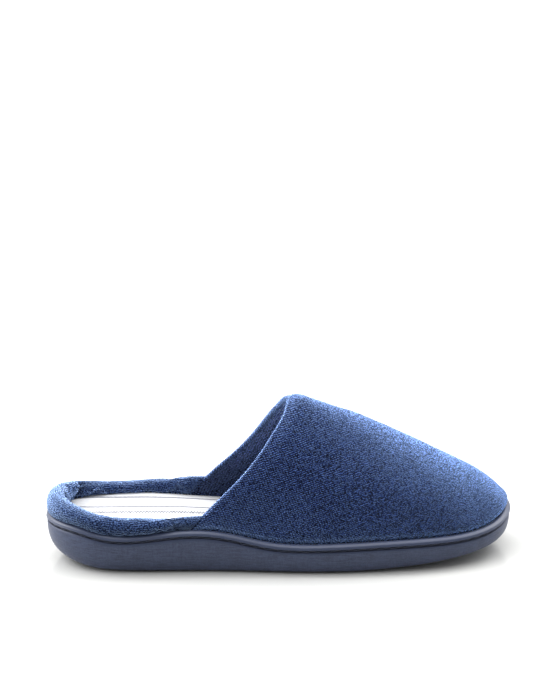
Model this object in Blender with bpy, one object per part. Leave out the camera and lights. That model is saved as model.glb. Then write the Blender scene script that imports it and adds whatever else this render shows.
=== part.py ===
"""Closed-toe house mule, right foot, standing empty on its sole.

Frame: metres, +Z up, +X heel to toe, +Y to the inner (big toe) side of the foot.
The origin is on the floor under the middle of the sole.
Sizes below are in millimetres.
"""
from collections import namedtuple
from math import acos, pi, radians

import bmesh
import bpy
import numpy as np

MM = 0.001

# ---------------------------------------------------------------- driving sizes
LENGTH = 284.0          # heel to toe over the rim of the sole
TOE_TIP_Y = 5.0         # the toe tip lies this far to the big toe side
TOE_SPRING = 9.2        # lift of the tread under the toe tip
SPRING_FROM = 0.62      # station where the tread leaves the floor
HEEL_LIFT = 3.6         # roll-off of the tread at the very back
HEEL_LIFT_TO = 0.12     # station where the tread meets the floor

LIP = 4.2               # width of the sole's rim, bead included
BEAD = 2.9              # height of the bead along the rim
GROOVE = 1.5            # height of the stitch groove under the bead
GROOVE_DEPTH = 1.2
WALL_ROUND = 2.5        # exponent of the rounded sidewall

WALL = 3.0              # thickness of the upper: pile cloth, foam and lining
EDGE_DIP = 2.4          # the vamp's edge rolls in by this much
EDGE_ROLL = 10.0        # over this distance from the edge
GAP = 0.3               # space left between neighbouring pieces
FEATHER = LIP + GAP     # inset of the upper's outer face from the rim outline

ROLL_OUT, ROLL_IN = 1.2, 11.6       # insets of the padded collar's outer and inner faces
SEAM_OUT, SEAM_IN = 3.7, 8.6        # the same where it runs into the vamp
ROLL_TUCK = radians(40)             # how far the roll turns under itself
SEAM_BLEND = 0.24                   # turn over which the roll thins to the seam
SEAM_SLOPE = 0.0072                 # lean of the seam: turn per millimetre of height

EDGE_ROUND = 1.2        # rounding of the insole's top edge

# Plan of the rim: half-widths to the outer and inner side of the foot, and how
# far the tread's edge is tucked in under the rim.
Plan = namedtuple("Plan", "station lateral medial undercut")
PLAN = (
    Plan(0.03, 21.5, 21.5, 11.4),
    Plan(0.10, 34.0, 33.8, 8.4),
    Plan(0.18, 37.5, 36.8, 6.0),
    Plan(0.28, 38.8, 36.4, 5.0),
    Plan(0.38, 41.2, 36.6, 5.0),
    Plan(0.48, 45.0, 39.6, 5.0),
    Plan(0.58, 47.8, 44.6, 5.0),
    Plan(0.66, 48.2, 48.4, 5.0),
    Plan(0.74, 47.2, 50.2, 5.0),
    Plan(0.82, 44.6, 48.8, 5.1),
    Plan(0.90, 37.8, 42.0, 5.2),
    Plan(0.96, 25.6, 30.4, 5.2),
)
HEEL_UNDERCUT, TOE_UNDERCUT = 13.0, 4.8

# Heights along the length: the rim's wavy top, the cup floor inside the sole,
# the top of the insole, and the top of the heel collar.
Height = namedtuple("Height", "station rim floor footbed collar")
HEIGHTS = (
    Height(0.00, 28.2, 17.4, 27.4, 42.0),
    Height(0.06, 27.8, 17.2, 27.2, 38.5),
    Height(0.12, 24.5, 17.0, 27.0, 35.0),
    Height(0.18, 23.8, 16.8, 26.8, 33.8),
    Height(0.24, 25.4, 16.4, 26.4, 34.4),
    Height(0.30, 26.8, 15.8, 25.6, 36.0),
    Height(0.38, 24.8, 14.4, 23.6, 36.4),
    Height(0.46, 20.0, 12.4, 21.0, 36.4),
    Height(0.54, 18.5, 10.8, 18.6, 36.4),
    Height(0.62, 19.0, 10.0, 17.4, 36.4),
    Height(0.72, 19.6, 10.4, 17.4, 36.4),
    Height(0.82, 19.8, 11.8, 18.6, 36.4),
    Height(0.92, 20.9, 14.2, 20.6, 36.4),
    Height(0.97, 23.2, 15.5, 21.6, 36.4),
    Height(1.00, 25.4, 16.4, 22.4, 36.4),
)

# The vamp's arches: crown height above the rim, how far the flanks are drawn in
# below a half ellipse, and how far the crown lies to the big toe side and forward.
Arch = namedtuple("Arch", "station height pinch inward forward")
ARCHES = (
    Arch(0.30, 97.1, 0.34, 0.0, 0.0),
    Arch(0.42, 90.7, 0.34, 0.5, 0.0),
    Arch(0.52, 82.0, 0.30, 1.0, 0.0),
    Arch(0.60, 72.9, 0.20, 1.5, 0.0),
    Arch(0.70, 59.2, 0.10, 2.5, 0.5),
    Arch(0.80, 43.6, 0.02, 3.0, 1.5),
    Arch(0.88, 30.8, 0.00, 3.0, 2.8),
    Arch(0.94, 19.2, 0.00, 2.0, 3.8),
    Arch(0.98, 8.9, 0.00, 1.0, 3.6),
)

# The vamp's edge over the instep: the station it reaches on each flank, by the
# angle up the arch from the rim.
Topline = namedtuple("Topline", "angle lateral medial")
TOPLINE = (
    Topline(0, 0.306, 0.318),
    Topline(10, 0.358, 0.369),
    Topline(20, 0.404, 0.414),
    Topline(30, 0.440, 0.446),
    Topline(40, 0.468, 0.469),
    Topline(50, 0.491, 0.487),
    Topline(60, 0.509, 0.502),
    Topline(70, 0.519, 0.512),
    Topline(80, 0.525, 0.521),
)
TOPLINE_CROWN = 0.526

# Facets
AROUND = 88             # round the sole and the insole
SIDE_STEPS = 5          # up the rounded sidewall
ARCH_STEPS = 26         # over the vamp
LENGTH_STEPS = 26       # along the vamp
COLLAR_STEPS = 44       # along the heel collar
ROLL_STEPS = 10         # round the heel collar's roll


# ---------------------------------------------------------------- curves
def cubic_through(knots, values, period=None):
    """Smooth cubic through the knots; with a period it closes on itself."""
    k, v = np.asarray(knots, float), np.asarray(values, float)
    n = len(k)
    if period is None:
        h = np.diff(k)
        a, r = np.eye(n), np.zeros(n)
        for i in range(1, n - 1):
            a[i, i - 1:i + 2] = h[i - 1], 2 * (h[i - 1] + h[i]), h[i]
            r[i] = 6 * ((v[i + 1] - v[i]) / h[i] - (v[i] - v[i - 1]) / h[i - 1])
    else:
        h = np.diff(np.append(k, k[0] + period))
        a, r = np.zeros((n, n)), np.zeros(n)
        for i in range(n):
            a[i, i - 1] += h[i - 1]
            a[i, i] += 2 * (h[i - 1] + h[i])
            a[i, (i + 1) % n] += h[i]
            r[i] = 6 * ((v[(i + 1) % n] - v[i]) / h[i] - (v[i] - v[i - 1]) / h[i - 1])
    m = np.linalg.solve(a, r)

    def at(x):
        x = np.asarray(x, float)
        if period is not None:
            x = np.mod(x - k[0], period) + k[0]
        i = np.clip(np.searchsorted(k, x, side="right") - 1, 0, len(h) - 1)
        j = (i + 1) % n
        p, q = x - k[i], h[i] - (x - k[i])
        return ((m[i] * q ** 3 + m[j] * p ** 3) / (6 * h[i])
                + (v[i] / h[i] - m[i] * h[i] / 6) * q
                + (v[j] / h[i] - m[j] * h[i] / 6) * p)

    return at


def smooth(x):
    x = np.clip(x, 0.0, 1.0)
    return x * x * (3 - 2 * x)


def turn_of(station):
    """Stations run 0 at the heel to 1 at the toe; turns run 0 to pi between them."""
    return acos(1 - 2 * station)


def station_of(turn):
    return (1 - np.cos(turn)) / 2


def around(heel, lateral, toe, medial):
    """Closed curve round the plan: heel, outer side, toe, inner side."""
    turns = [turn_of(row.station) for row in PLAN]
    knots = [0.0] + turns + [pi] + [2 * pi - a for a in reversed(turns)]
    return cubic_through(knots, [heel] + lateral + [toe] + medial[::-1], 2 * pi)


def along(name):
    curve = cubic_through([row.station for row in HEIGHTS],
                          [getattr(row, name) for row in HEIGHTS])
    return lambda station: curve(np.clip(station, 0.0, 1.0))


def over(name, at_tip):
    turns = [turn_of(row.station) for row in ARCHES] + [pi]
    return cubic_through(turns, [getattr(row, name) for row in ARCHES] + [at_tip])


outline = around(0.0, [-row.lateral for row in PLAN], TOE_TIP_Y, [row.medial for row in PLAN])
widest = outline(np.linspace(0, 2 * pi, 721))
middle_y = (widest.max() + widest.min()) / 2        # the frame's X axis halves the overall width


def side_at(turn):
    return outline(turn) - middle_y


undercut_at = around(HEEL_UNDERCUT, [row.undercut for row in PLAN],
                     TOE_UNDERCUT, [row.undercut for row in PLAN])
rim_at, floor_at, footbed_at, collar_at = (along(c) for c in ("rim", "floor", "footbed", "collar"))
crown_at, pinch_at = over("height", 0.0), over("pinch", 0.0)
inward_at, forward_at = over("inward", 0.0), over("forward", 0.0)
topline_at = cubic_through(
    [radians(row.angle) for row in TOPLINE] + [pi / 2]
    + [pi - radians(row.angle) for row in reversed(TOPLINE)],
    [row.lateral for row in TOPLINE] + [TOPLINE_CROWN]
    + [row.medial for row in reversed(TOPLINE)])


def tread_at(station):
    spring = np.clip((station - SPRING_FROM) / (1 - SPRING_FROM), 0, 1)
    roll = np.clip(1 - station / HEEL_LIFT_TO, 0, 1)
    return TOE_SPRING * spring ** 1.8 + HEEL_LIFT * roll ** 2


def plan(turn, inset):
    """Points of the rim outline, moved in by inset."""
    turn = np.asarray(turn, float)
    step = 1e-4
    point = np.stack([-LENGTH / 2 * np.cos(turn), side_at(turn)], -1)
    run = np.stack([LENGTH / 2 * np.sin(turn),
                    (side_at(turn + step) - side_at(turn - step)) / (2 * step)], -1)
    run /= np.linalg.norm(run, axis=-1, keepdims=True)
    return point + np.asarray(inset, float)[..., None] * np.stack([-run[..., 1], run[..., 0]], -1)


def level(turn, inset, z):
    """A row of 3-D points on the outline moved in by inset, at height z."""
    z = np.broadcast_to(z, np.shape(turn))
    return np.concatenate([plan(turn, np.broadcast_to(inset, np.shape(turn))), z[..., None]], -1)


def vamp_face(turn, angle):
    """Outer face of the vamp over the arch at this turn."""
    a, b = plan(turn, np.full_like(turn, FEATHER)), plan(2 * pi - turn, np.full_like(turn, FEATHER))
    s = np.sin(angle)
    reach = np.cos(angle) * (1 - pinch_at(turn) * s * s)
    xy = (a + b) / 2 + (a - b) / 2 * reach[..., None]
    xy[..., 0] += forward_at(turn) * s
    xy[..., 1] += inward_at(turn) * s * s
    z = rim_at(station_of(turn)) + crown_at(turn) * s
    return np.concatenate([xy, z[..., None]], -1)


def vamp_normal(turn, angle):
    step = 1e-3
    turn = np.minimum(turn, pi - 2 * step)
    angle = np.clip(angle, step, pi - step)
    along_turn = vamp_face(turn + step, angle) - vamp_face(turn - step, angle)
    along_arch = vamp_face(turn, angle + step) - vamp_face(turn, angle - step)
    n = np.cross(along_turn, along_arch)
    return n / np.linalg.norm(n, axis=-1, keepdims=True)


# ---------------------------------------------------------------- meshes
def solid(name, rows, faces, colour, roughness, crease):
    """One closed body from its points and faces, with its own material."""
    mesh = bpy.data.meshes.new(name)
    bm = bmesh.new()
    verts = [bm.verts.new(p * MM) for p in rows]
    for face in faces:
        bm.faces.new([verts[i] for i in dict.fromkeys(face)])
    bmesh.ops.remove_doubles(bm, verts=bm.verts, dist=2e-6)
    bmesh.ops.dissolve_degenerate(bm, dist=1e-7, edges=bm.edges)
    bmesh.ops.triangulate(bm, faces=bm.faces)
    bmesh.ops.recalc_face_normals(bm, faces=bm.faces)
    bm.to_mesh(mesh)
    bm.free()
    mesh.shade_smooth()
    mesh.set_sharp_from_angle(angle=radians(crease))
    obj = bpy.data.objects.new(name, mesh)
    bpy.context.scene.collection.objects.link(obj)
    material = bpy.data.materials.new(name + "_material")
    material.use_nodes = True
    shader = material.node_tree.nodes["Principled BSDF"]
    shader.inputs["Base Color"].default_value = (*colour, 1.0)
    shader.inputs["Roughness"].default_value = roughness
    shader.inputs["Metallic"].default_value = 0.0
    mesh.materials.append(material)
    return obj


def rings(stack):
    """Faces between closed rings of equal count, with both ends capped across the plan."""
    count = len(stack[0])
    faces = []
    for k in range(len(stack) - 1):
        for i in range(count):
            j = (i + 1) % count
            faces.append((k * count + i, k * count + j, (k + 1) * count + j, (k + 1) * count + i))
    for base in (0, (len(stack) - 1) * count):
        for i in range(count // 2):
            faces.append([base + n % count for n in (i, i + 1, count - i - 1, count - i)])
    return np.concatenate(stack), faces


def outsole():
    """Moulded cup sole: rounded sidewall, stitch groove, bead, rim and cup floor."""
    turn = np.arange(AROUND) * 2 * pi / AROUND
    station = station_of(turn)
    rim, tread = rim_at(station), tread_at(station)
    shoulder, tuck = 0.6, undercut_at(turn)
    stack = []
    for k in range(SIDE_STEPS + 1):
        a = k / SIDE_STEPS * pi / 2
        up = 1 - np.cos(a) ** (2 / WALL_ROUND)
        out = np.sin(a) ** (2 / WALL_ROUND)
        stack.append(level(turn, tuck + (shoulder - tuck) * out,
                           tread + (rim - BEAD - GROOVE - tread) * up))
    profile = (
        (shoulder + GROOVE_DEPTH, BEAD + GROOVE - 0.3),
        (shoulder + GROOVE_DEPTH, BEAD + 0.3),
        (shoulder, BEAD),
        (0.0, BEAD * 0.62),
        (0.35, BEAD * 0.25),
        (1.3, 0.05),
        (2.4, 0.0),
        (LIP, 0.25),
    )
    stack += [level(turn, inset, rim - drop) for inset, drop in profile]
    stack.append(level(turn, LIP, floor_at(station)))
    return solid("outsole", *rings(stack), (0.062, 0.072, 0.118), 0.55, 28)


def insole():
    """Cushioned insole on the cup floor, inside the upper and the collar."""
    turn = np.arange(AROUND) * 2 * pi / AROUND
    station = station_of(turn)
    edge = FEATHER + WALL + GAP
    top = footbed_at(station)
    stack = [
        level(turn, edge, floor_at(station) + GAP),
        level(turn, edge, top - EDGE_ROUND),
        level(turn, edge + EDGE_ROUND * 0.3, top - EDGE_ROUND * 0.3),
        level(turn, edge + EDGE_ROUND, top),
    ]
    return solid("insole", *rings(stack), (0.80, 0.81, 0.84), 0.9, 40)


def upper():
    """Vamp shell over the forefoot: one hollow wall, open at the throat and underneath."""
    lower = 2                                       # rows down into the cup on each side
    angle = np.concatenate([np.zeros(lower), np.linspace(0, pi, ARCH_STEPS + 1), np.full(lower, pi)])
    sink = np.concatenate([np.arange(lower, 0, -1) / lower, np.zeros(ARCH_STEPS + 1),
                           np.arange(1, lower + 1) / lower])
    share = (np.arange(LENGTH_STEPS + 1) / LENGTH_STEPS) ** 1.25
    back = np.arccos(1 - 2 * topline_at(angle))
    turn = back[None] + (pi - back[None]) * share[:, None]
    wide, deep = np.broadcast_to(angle, turn.shape), np.broadcast_to(sink, turn.shape)

    outer, normal = vamp_face(turn, wide), vamp_normal(turn, wide)
    low = (deep > 0) | (wide == 0) | (wide == pi)   # straight wall at and below the rim
    around_turn = np.where(wide < pi / 2, turn, 2 * pi - turn)
    inward = plan(around_turn, np.ones_like(turn)) - plan(around_turn, np.zeros_like(turn))
    normal[low] = -np.concatenate([inward, np.zeros_like(turn)[..., None]], -1)[low]
    normal[-1] = (1.0, 0.0, 0.0)
    walk = np.linalg.norm(np.diff(outer, axis=0, prepend=outer[:1]), axis=-1).cumsum(0)
    roll = EDGE_DIP * (1 - np.clip(walk / EDGE_ROLL, 0, 1)) ** 2 * np.sin(wide) * (deep == 0)
    outer -= roll[..., None] * normal
    drop = rim_at(station_of(turn)) - floor_at(station_of(turn)) - GAP
    outer[..., 2] -= deep * drop
    inner = outer - WALL * normal

    # rounded edge along the throat, half a circle between the two faces
    away = outer[0] - outer[1]
    away -= np.sum(away * normal[0], -1, keepdims=True) * normal[0]
    away /= np.linalg.norm(away, axis=-1, keepdims=True)
    edge = [(outer[0] + inner[0]) / 2 + WALL / 2 * (np.cos(a) * normal[0] + np.sin(a) * away)
            for a in (pi / 4, pi / 2, 3 * pi / 4)]

    sheet = list(outer[::-1]) + edge + list(inner)
    wide_count = len(angle)
    faces = [(k * wide_count + i, k * wide_count + i + 1,
              (k + 1) * wide_count + i + 1, (k + 1) * wide_count + i)
             for k in range(len(sheet) - 1) for i in range(wide_count - 1)]
    last = len(sheet) - 1
    for k in range(last // 2):                      # feet of the wall, outer to inner face
        for i in (0, wide_count - 1):
            faces.append((k * wide_count + i, (k + 1) * wide_count + i,
                          (last - k - 1) * wide_count + i, (last - k) * wide_count + i))
    return solid("upper", np.concatenate(sheet), faces, (0.030, 0.052, 0.150), 0.95, 50)


def heel_collar():
    """Padded roll round the heel, from one end of the vamp to the other, with its foot in the cup."""
    edge = (WALL / 2 + GAP) / LENGTH                # clear of the vamp's rounded edge
    first = -turn_of(TOPLINE[0].medial - edge)
    final = turn_of(TOPLINE[0].lateral - edge)
    turn = np.linspace(first, final, COLLAR_STEPS + 1)
    to_end = np.minimum(turn - first, final - turn)
    near_end = 1 - smooth(to_end / SEAM_BLEND)
    station = station_of(turn)
    rim, foot = rim_at(station), floor_at(station) + GAP
    top, rest = collar_at(station), footbed_at(station) + GAP
    outside = ROLL_OUT + (SEAM_OUT - ROLL_OUT) * near_end
    inside = ROLL_IN + (SEAM_IN - ROLL_IN) * near_end
    middle, half = (outside + inside) / 2, (inside - outside) / 2

    section = [(np.full_like(turn, FEATHER), foot), (np.full_like(turn, FEATHER), rim + GAP)]
    for k in range(ROLL_STEPS + 1):
        a = -ROLL_TUCK + (pi + 2 * ROLL_TUCK) * k / ROLL_STEPS
        base = rim + GAP if a <= pi / 2 else rest
        rise = (top - base) / (1 + np.sin(ROLL_TUCK))
        section.append((middle - half * np.cos(a), top - rise + rise * np.sin(a)))
    section += [(np.full_like(turn, FEATHER + WALL), rest), (np.full_like(turn, FEATHER + WALL), foot)]

    lean = np.sign(turn) * SEAM_SLOPE * near_end
    loops = [level(turn + lean * np.maximum(z - rim, 0), inset, z) for inset, z in section]
    count, steps = len(loops), len(turn)
    points = np.stack(loops, 1).reshape(-1, 3)
    faces = [(k * count + i, k * count + (i + 1) % count,
              (k + 1) * count + (i + 1) % count, (k + 1) * count + i)
             for k in range(steps - 1) for i in range(count)]
    faces += [tuple(range(count)), tuple(range((steps - 1) * count, steps * count))]
    return solid("heel_collar", points, faces, (0.036, 0.062, 0.170), 0.95, 50)


for item in list(bpy.data.objects):
    bpy.data.objects.remove(item, do_unlink=True)

root = bpy.data.objects.new("mule", None)
bpy.context.scene.collection.objects.link(root)
for piece in (outsole(), insole(), upper(), heel_collar()):
    piece.parent = root
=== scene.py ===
"""Looks of the closed-toe house mule: velour vamp, looped-pile collar, jersey insole, moulded sole.

Frame: metres, +Z up, +X heel to toe, +Y to the big toe side. Sizes below are in millimetres.
"""
from collections import namedtuple
from math import acos, cos, pi, radians, sin

import bmesh
import bpy
import numpy as np
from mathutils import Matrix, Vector


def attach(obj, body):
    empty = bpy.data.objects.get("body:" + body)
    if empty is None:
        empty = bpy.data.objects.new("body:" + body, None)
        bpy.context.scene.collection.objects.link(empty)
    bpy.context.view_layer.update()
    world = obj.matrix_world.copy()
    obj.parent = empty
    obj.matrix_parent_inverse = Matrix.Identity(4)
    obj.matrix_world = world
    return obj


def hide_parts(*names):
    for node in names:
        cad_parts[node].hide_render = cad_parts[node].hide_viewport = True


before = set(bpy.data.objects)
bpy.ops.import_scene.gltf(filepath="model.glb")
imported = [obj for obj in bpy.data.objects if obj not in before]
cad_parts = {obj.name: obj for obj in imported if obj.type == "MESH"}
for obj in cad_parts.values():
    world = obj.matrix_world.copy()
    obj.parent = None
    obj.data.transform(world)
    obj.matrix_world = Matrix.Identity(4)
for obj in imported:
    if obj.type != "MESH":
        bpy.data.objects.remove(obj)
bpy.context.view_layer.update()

MM = 0.001

# ---------------------------------------------------------------- sizes, as in the part
LENGTH = 284.0
TOE_TIP_Y = 5.0
TOE_SPRING, SPRING_FROM = 9.2, 0.62
HEEL_LIFT, HEEL_LIFT_TO = 3.6, 0.12
LIP, BEAD, GROOVE, GROOVE_DEPTH, WALL_ROUND = 4.2, 2.9, 1.5, 1.2, 2.5
WALL, EDGE_DIP, EDGE_ROLL, GAP = 3.0, 2.4, 10.0, 0.3
FEATHER = LIP + GAP
ROLL_OUT, ROLL_IN = 1.2, 11.6
SEAM_OUT, SEAM_IN = 2.7, 9.2
ROLL_TUCK, SEAM_BLEND, SEAM_SLOPE = radians(40), 0.24, 0.0072
EDGE_ROUND = 1.2

Plan = namedtuple("Plan", "station lateral medial undercut")
PLAN = (
    Plan(0.03, 21.5, 21.5, 11.4),
    Plan(0.10, 34.0, 33.8, 8.4),
    Plan(0.18, 37.5, 36.8, 6.0),
    Plan(0.28, 38.8, 36.4, 5.0),
    Plan(0.38, 41.2, 36.6, 5.0),
    Plan(0.48, 45.0, 39.6, 5.0),
    Plan(0.58, 47.8, 44.6, 5.0),
    Plan(0.66, 48.2, 48.4, 5.0),
    Plan(0.74, 47.2, 50.2, 5.0),
    Plan(0.82, 44.6, 48.8, 5.1),
    Plan(0.90, 37.8, 42.0, 5.2),
    Plan(0.96, 25.6, 30.4, 5.2),
)
HEEL_UNDERCUT, TOE_UNDERCUT = 13.0, 4.8

Height = namedtuple("Height", "station rim floor footbed collar")
HEIGHTS = (
    Height(0.00, 28.2, 17.4, 27.4, 42.0),
    Height(0.06, 27.8, 17.2, 27.2, 38.5),
    Height(0.12, 24.5, 17.0, 27.0, 35.0),
    Height(0.18, 23.8, 16.8, 26.8, 33.8),
    Height(0.24, 25.4, 16.4, 26.4, 34.4),
    Height(0.30, 26.8, 15.8, 25.6, 36.0),
    Height(0.38, 24.8, 14.4, 23.6, 36.4),
    Height(0.46, 20.0, 12.4, 21.0, 36.4),
    Height(0.54, 18.5, 10.8, 18.6, 36.4),
    Height(0.62, 19.0, 10.0, 17.4, 36.4),
    Height(0.72, 19.6, 10.4, 17.4, 36.4),
    Height(0.82, 19.8, 11.8, 18.6, 36.4),
    Height(0.92, 20.9, 14.2, 20.6, 36.4),
    Height(0.97, 23.2, 15.5, 21.6, 36.4),
    Height(1.00, 25.4, 16.4, 22.4, 36.4),
)

Arch = namedtuple("Arch", "station height pinch inward forward")
ARCHES = (
    Arch(0.30, 97.1, 0.34, 0.0, 0.0),
    Arch(0.42, 90.7, 0.34, 0.5, 0.0),
    Arch(0.52, 82.0, 0.30, 1.0, 0.0),
    Arch(0.60, 72.9, 0.20, 1.5, 0.0),
    Arch(0.70, 59.2, 0.10, 2.5, 0.5),
    Arch(0.80, 43.6, 0.02, 3.0, 1.5),
    Arch(0.88, 30.8, 0.00, 3.0, 2.8),
    Arch(0.94, 19.2, 0.00, 2.0, 3.8),
    Arch(0.98, 8.9, 0.00, 1.0, 3.6),
)

Topline = namedtuple("Topline", "angle lateral medial")
TOPLINE = (
    Topline(0, 0.306, 0.318),
    Topline(10, 0.358, 0.369),
    Topline(20, 0.404, 0.414),
    Topline(30, 0.440, 0.446),
    Topline(40, 0.468, 0.469),
    Topline(50, 0.491, 0.487),
    Topline(60, 0.509, 0.502),
    Topline(70, 0.519, 0.512),
    Topline(80, 0.525, 0.521),
)
TOPLINE_CROWN = 0.526


# ---------------------------------------------------------------- curves, as in the part
def cubic_through(knots, values, period=None):
    """Smooth cubic through the knots; with a period it closes on itself."""
    k, v = np.asarray(knots, float), np.asarray(values, float)
    n = len(k)
    if period is None:
        h = np.diff(k)
        a, r = np.eye(n), np.zeros(n)
        for i in range(1, n - 1):
            a[i, i - 1:i + 2] = h[i - 1], 2 * (h[i - 1] + h[i]), h[i]
            r[i] = 6 * ((v[i + 1] - v[i]) / h[i] - (v[i] - v[i - 1]) / h[i - 1])
    else:
        h = np.diff(np.append(k, k[0] + period))
        a, r = np.zeros((n, n)), np.zeros(n)
        for i in range(n):
            a[i, i - 1] += h[i - 1]
            a[i, i] += 2 * (h[i - 1] + h[i])
            a[i, (i + 1) % n] += h[i]
            r[i] = 6 * ((v[(i + 1) % n] - v[i]) / h[i] - (v[i] - v[i - 1]) / h[i - 1])
    m = np.linalg.solve(a, r)

    def at(x):
        x = np.asarray(x, float)
        if period is not None:
            x = np.mod(x - k[0], period) + k[0]
        i = np.clip(np.searchsorted(k, x, side="right") - 1, 0, len(h) - 1)
        j = (i + 1) % n
        p, q = x - k[i], h[i] - (x - k[i])
        return ((m[i] * q ** 3 + m[j] * p ** 3) / (6 * h[i])
                + (v[i] / h[i] - m[i] * h[i] / 6) * q
                + (v[j] / h[i] - m[j] * h[i] / 6) * p)

    return at


def smooth(x):
    x = np.clip(x, 0.0, 1.0)
    return x * x * (3 - 2 * x)


def turn_of(station):
    return acos(1 - 2 * station)


def station_of(turn):
    return (1 - np.cos(turn)) / 2


def around(heel, lateral, toe, medial):
    turns = [turn_of(row.station) for row in PLAN]
    knots = [0.0] + turns + [pi] + [2 * pi - a for a in reversed(turns)]
    return cubic_through(knots, [heel] + lateral + [toe] + medial[::-1], 2 * pi)


def along(name):
    curve = cubic_through([row.station for row in HEIGHTS],
                          [getattr(row, name) for row in HEIGHTS])
    return lambda station: curve(np.clip(station, 0.0, 1.0))


def over(name, at_tip):
    turns = [turn_of(row.station) for row in ARCHES] + [pi]
    return cubic_through(turns, [getattr(row, name) for row in ARCHES] + [at_tip])


outline = around(0.0, [-row.lateral for row in PLAN], TOE_TIP_Y, [row.medial for row in PLAN])
widest = outline(np.linspace(0, 2 * pi, 721))
middle_y = (widest.max() + widest.min()) / 2


def side_at(turn):
    return outline(turn) - middle_y


undercut_at = around(HEEL_UNDERCUT, [row.undercut for row in PLAN],
                     TOE_UNDERCUT, [row.undercut for row in PLAN])
rim_at, floor_at, footbed_at, collar_at = (along(c) for c in ("rim", "floor", "footbed", "collar"))
crown_at, pinch_at = over("height", 0.0), over("pinch", 0.0)
inward_at, forward_at = over("inward", 0.0), over("forward", 0.0)
topline_at = cubic_through(
    [radians(row.angle) for row in TOPLINE] + [pi / 2]
    + [pi - radians(row.angle) for row in reversed(TOPLINE)],
    [row.lateral for row in TOPLINE] + [TOPLINE_CROWN]
    + [row.medial for row in reversed(TOPLINE)])


def tread_at(station):
    spring = np.clip((station - SPRING_FROM) / (1 - SPRING_FROM), 0, 1)
    roll = np.clip(1 - station / HEEL_LIFT_TO, 0, 1)
    return TOE_SPRING * spring ** 1.8 + HEEL_LIFT * roll ** 2


def plan(turn, inset):
    turn = np.asarray(turn, float)
    step = 1e-4
    point = np.stack([-LENGTH / 2 * np.cos(turn), side_at(turn)], -1)
    run = np.stack([LENGTH / 2 * np.sin(turn),
                    (side_at(turn + step) - side_at(turn - step)) / (2 * step)], -1)
    run /= np.linalg.norm(run, axis=-1, keepdims=True)
    return point + np.asarray(inset, float)[..., None] * np.stack([-run[..., 1], run[..., 0]], -1)


def level(turn, inset, z):
    z = np.broadcast_to(z, np.shape(turn))
    return np.concatenate([plan(turn, np.broadcast_to(inset, np.shape(turn))), z[..., None]], -1)


def vamp_face(turn, angle):
    a, b = plan(turn, np.full_like(turn, FEATHER)), plan(2 * pi - turn, np.full_like(turn, FEATHER))
    s = np.sin(angle)
    reach = np.cos(angle) * (1 - pinch_at(turn) * s * s)
    xy = (a + b) / 2 + (a - b) / 2 * reach[..., None]
    xy[..., 0] += forward_at(turn) * s
    xy[..., 1] += inward_at(turn) * s * s
    z = rim_at(station_of(turn)) + crown_at(turn) * s
    return np.concatenate([xy, z[..., None]], -1)


def vamp_normal(turn, angle):
    step = 1e-3
    turn = np.minimum(turn, pi - 2 * step)
    angle = np.clip(angle, step, pi - step)
    along_turn = vamp_face(turn + step, angle) - vamp_face(turn - step, angle)
    along_arch = vamp_face(turn, angle + step) - vamp_face(turn, angle - step)
    n = np.cross(along_turn, along_arch)
    return n / np.linalg.norm(n, axis=-1, keepdims=True)


# ---------------------------------------------------------------- even noise for soft forms
def waves(points, size, seed, count=18):
    """Soft irregular swell: a fixed sum of plane waves about `size` millimetres long, in -1 to 1."""
    rng = np.random.default_rng(seed)
    total = np.zeros(points.shape[:-1])
    for _ in range(count):
        d = rng.normal(size=3)
        d /= np.linalg.norm(d)
        total += np.sin(points @ d * (2 * pi / (size * rng.uniform(0.75, 1.35))) + rng.uniform(0, 2 * pi))
    return total / (count / 2) ** 0.5 / 1.6


# ---------------------------------------------------------------- meshes
def mesh_object(name, points, faces, materials, face_slot=None, uv=None, weld=True, marks=None):
    """A mesh piece in metres from points in millimetres. uv holds one pair per point, marks one number."""
    mesh = bpy.data.meshes.new(name)
    bm = bmesh.new()
    layer = bm.loops.layers.uv.new("UVMap") if uv is not None else None
    for key in marks or {}:
        bm.verts.layers.float.new(key)
    verts = [bm.verts.new(p) for p in np.asarray(points) * MM]
    for key in marks or {}:
        mark = bm.verts.layers.float[key]
        for v, value in zip(verts, np.ravel(marks[key])):
            v[mark] = float(value)
    for n, face in enumerate(faces):
        index = list(dict.fromkeys(int(i) for i in face))
        f = bm.faces.new([verts[i] for i in index])
        f.smooth = True
        if face_slot is not None:
            f.material_index = int(face_slot[n])
        if layer is not None:
            for loop, i in zip(f.loops, index):
                loop[layer].uv = uv[i]
    if weld:
        bmesh.ops.remove_doubles(bm, verts=bm.verts, dist=2e-6)
        bmesh.ops.dissolve_degenerate(bm, dist=1e-7, edges=bm.edges)
    bmesh.ops.recalc_face_normals(bm, faces=bm.faces)
    bm.to_mesh(mesh)
    bm.free()
    obj = bpy.data.objects.new(name, mesh)
    bpy.context.scene.collection.objects.link(obj)
    for m in materials:
        mesh.materials.append(m)
    return obj


def ring_faces(rings, count, cap_first=True, cap_last=True):
    faces = []
    for k in range(rings - 1):
        for i in range(count):
            j = (i + 1) % count
            faces.append((k * count + i, k * count + j, (k + 1) * count + j, (k + 1) * count + i))
    for base, wanted in ((0, cap_first), ((rings - 1) * count, cap_last)):
        if wanted:
            for i in range(count // 2):
                faces.append([base + n % count for n in (i, i + 1, count - i - 1, count - i)])
    return faces


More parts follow.
